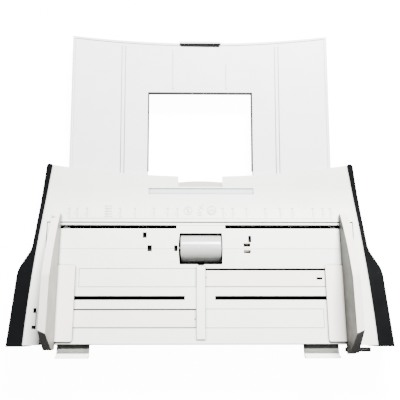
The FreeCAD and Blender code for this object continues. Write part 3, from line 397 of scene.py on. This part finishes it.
def add_window_shade_strip(materials):
    """A dark strip around the extension's window: painted shade along the window's walls."""
    work = bmesh.new()
    for x0, x1, y0, y1 in STRIP_SIDES:
        low = [work.verts.new((x * MM, y * MM + Y_SHIFT, STRIP_LOW * MM)) for x, y in
               ((x0, y0), (x1, y0), (x1, y1), (x0, y1))]
        high = [work.verts.new((v.co.x, v.co.y, STRIP_HIGH * MM)) for v in low]
        work.faces.new(low[::-1])
        work.faces.new(high)
        for k in range(4):
            work.faces.new((low[k], low[(k + 1) % 4], high[(k + 1) % 4], high[k]))
    mesh = bpy.data.meshes.new("window_shade_strip")
    work.to_mesh(mesh)
    work.free()
    add_piece("window_shade_strip", mesh, "extension", materials["edge_shade"])


# ---------------------------------------------------------------- moulded marks
BEND_Y = 26.6                     # where the upper plate bends to level
BEND_R = 180.0
TICKS = (26.0, 37.0, 52.5, 74.0, 91.0, 105.0, 128.5, 139.7, 148.5)     # half widths of the sheets
MARK_W, MARK_H = 0.8, 0.45        # width and height of a moulded line
RING_STEPS = 28


def plate_point(x, y, lift):
    """A place on the upper plate, which curves from the table's slope to level; y in the chute frame."""
    tangent = BEND_R * math.tan(TILT / 2)
    low, high = BEND_Y - tangent * math.cos(TILT), BEND_Y + tangent
    level = JOINT_HEIGHT - BEND_Y * math.tan(TILT)
    if y >= high:
        z = level
    elif y <= low:
        z = JOINT_HEIGHT - y * math.tan(TILT)
    else:
        z = level + BEND_R - math.sqrt(BEND_R ** 2 - (high - y) ** 2)
    return Vector((x * MM, y * MM + Y_SHIFT, (z + lift) * MM))


def stroke(work, points, width, height, closed=False):
    """A raised line with sloping sides along (x, y) points on the plate."""
    count = len(points)
    rows = []
    for i, (x, y) in enumerate(points):
        ahead = points[(i + 1) % count] if closed or i + 1 < count else points[i]
        behind = points[i - 1] if closed or i > 0 else points[i]
        dx, dy = ahead[0] - behind[0], ahead[1] - behind[1]
        size = math.hypot(dx, dy)
        nx, ny = -dy / size, dx / size
        row = []
        for side, lift in ((-0.5, -0.15), (-0.28, height), (0.28, height), (0.5, -0.15)):
            row.append(work.verts.new(plate_point(x + nx * side * width, y + ny * side * width, lift)))
        rows.append(row)
    pairs = list(zip(rows, rows[1:]))
    if closed:
        pairs.append((rows[-1], rows[0]))
    for a, b in pairs:
        for k in range(4):
            work.faces.new((a[k], a[(k + 1) % 4], b[(k + 1) % 4], b[k]))
    if not closed:
        work.faces.new(rows[0][::-1])
        work.faces.new(rows[-1])


def ring(work, x, y, r):
    angles = [math.tau * i / RING_STEPS for i in range(RING_STEPS)]
    turn = [(x + r * math.cos(a), y + r * math.sin(a)) for a in angles]
    stroke(work, turn, MARK_W, MARK_H, closed=True)


# three plain signs: rings as (x, y, radius), and lines
SIGN_RINGS = ((-14.0, 13.2, 4.6), (12.7, 13.2, 5.0), (-0.6, 9.4, 2.2))
SIGN_LINES = (((-16.2, 15.4), (-11.8, 11.0)), ((-14.0, 10.4), (-14.0, 16.0)),
              ((8.6, 12.2), (12.7, 14.6), (16.8, 12.2)), ((9.4, 10.6), (16.0, 10.6)),
              ((-2.6, 13.4), (1.2, 17.2), (3.4, 21.0)), ((-1.0, 18.6), (3.2, 14.4)))


def add_marks(materials):
    """Paper-width ticks and three plain signs, raised on the plate above the joint."""
    work = bmesh.new()
    for tick in TICKS:
        for side in (-1, 1):
            x = tick * side
            stroke(work, [(x, 5.2), (x, 10.5), (x, 15.6)], MARK_W, MARK_H)
            stroke(work, [(x - 1.7, 16.0), (x + 1.1, 16.0)], MARK_W, MARK_H)
            stroke(work, [(x + 2.3 * side, 8.0), (x + 2.3 * side, 11.5)], 0.55, 0.2)
    # two short columns of dashes
    for i in range(5):
        for left, right in ((-108.5, -105.2), (-103.4, -100.6)):
            stroke(work, [(left, 6.0 + 3.1 * i), (right, 6.0 + 3.1 * i)], 0.7, MARK_H)
    for x, y, r in SIGN_RINGS:
        ring(work, x, y, r)
    for points in SIGN_LINES:
        stroke(work, points, MARK_W, MARK_H)
    bmesh.ops.recalc_face_normals(work, faces=work.faces)
    mesh = bpy.data.meshes.new("size_marks")
    work.to_mesh(mesh)
    work.free()
    add_piece("size_marks", mesh, "chute", materials["white_plastic"])


# ---------------------------------------------------------------- rounded edges, and faces darkened as painted shade
# node, width of the rounding, least length of a rounded edge, in millimetres
ROUNDINGS = (
    ("guide_left", 0.8, 1.0), ("guide_right", 0.8, 1.0), ("extension_tray", 0.6, 1.0),
    ("chute_body", 0.35, 1.0), ("paper_table", 0.25, 0.6), ("hook_left", 0.6, 0.5),
    ("hook_right", 0.6, 0.5), ("centre_strip", 0.3, 0.5), ("rack_arm_left", 0.2, 1.0),
    ("rack_arm_right", 0.2, 1.0), ("rear_cover", 0.3, 1.0))
# x0, x1, y0, y1 in the chute frame, in millimetres
WINDOW_BOX = (-62.4, 62.4, 40.0, 155.8)
HANDLE_BOX = (-24.0, 24.0, 205.0, 226.0)
BAND_BOX = (-59.3, 61.1, 32.4, 39.3)
GUIDE_END_Y, HOOK_BAND_Y = -138.5, -138.9
CHANNEL_Z, ARM_Z, FOOT_Z = -1.8, -2.0, -0.4    # heights above the table's top


def shade_faces(skins, materials):
    """Paints shade onto faces that lie in shade by giving them a darker material, and gives the floor of
    the shallow band a darker bluish grey.
    """
    tray = skins["extension_tray"]
    # painted shade on the walls of the extension's window and on the handle's face towards the feed end
    accent(tray, materials["edge_shade"], lambda at, facing: in_box(at, *WINDOW_BOX) and facing.z < 0.93)
    accent(tray, materials["edge_shade"], lambda at, facing: in_box(at, *HANDLE_BOX) and facing.y < -0.3)
    # painted shade: the table's faces below its top, in the channels, slots and tunnels, are made black
    accent(skins["paper_table"], materials["dark_plastic"],
           lambda at, facing: above_table(at) < CHANNEL_Z * MM)
    for side in ("left", "right"):
        # painted shade on the sides of each rack arm, in the gaps of its channel
        accent(skins["rack_arm_" + side], materials["dark_plastic"],
               lambda at, facing: above_table(at) < ARM_Z * MM and facing.z < 0.5)
    accent(skins["chute_body"], materials["band"],
           lambda at, facing: in_box(at, *BAND_BOX) and facing.z > 0.8)
    for node, inward, shade in (("guide_left", 1, "guide_shade"), ("guide_right", -1, "guide_deep_shade")):
        # painted shade on the inner face of each guide
        accent(skins[node], materials[shade], lambda at, facing: facing.x * inward > 0.72)
        # painted shade on each guide's end face
        accent(skins[node], materials["guide_end_shade"],
               lambda at, facing: facing.y < -0.30 or at.y - Y_SHIFT < GUIDE_END_Y * MM)
        # painted shade on the parts of each guide that reach below the table's top
        accent(skins[node], materials["dark_plastic"], lambda at, facing: above_table(at) < FOOT_Z * MM)
    for node in ("hook_left", "hook_right"):
        # painted shadow of the table's front edge across the top of each hook
        accent(skins[node], materials["hook_shade"],
               lambda at, facing: at.y - Y_SHIFT > HOOK_BAND_Y * MM)


# ---------------------------------------------------------------- the scene
add_camera()
add_light()
add_floor()
materials = make_materials()
dress(materials)
skins = {node: soften(node, width, least, materials) for node, width, least in ROUNDINGS}
shade_faces(skins, materials)
add_window_shade_strip(materials)
add_marks(materials)
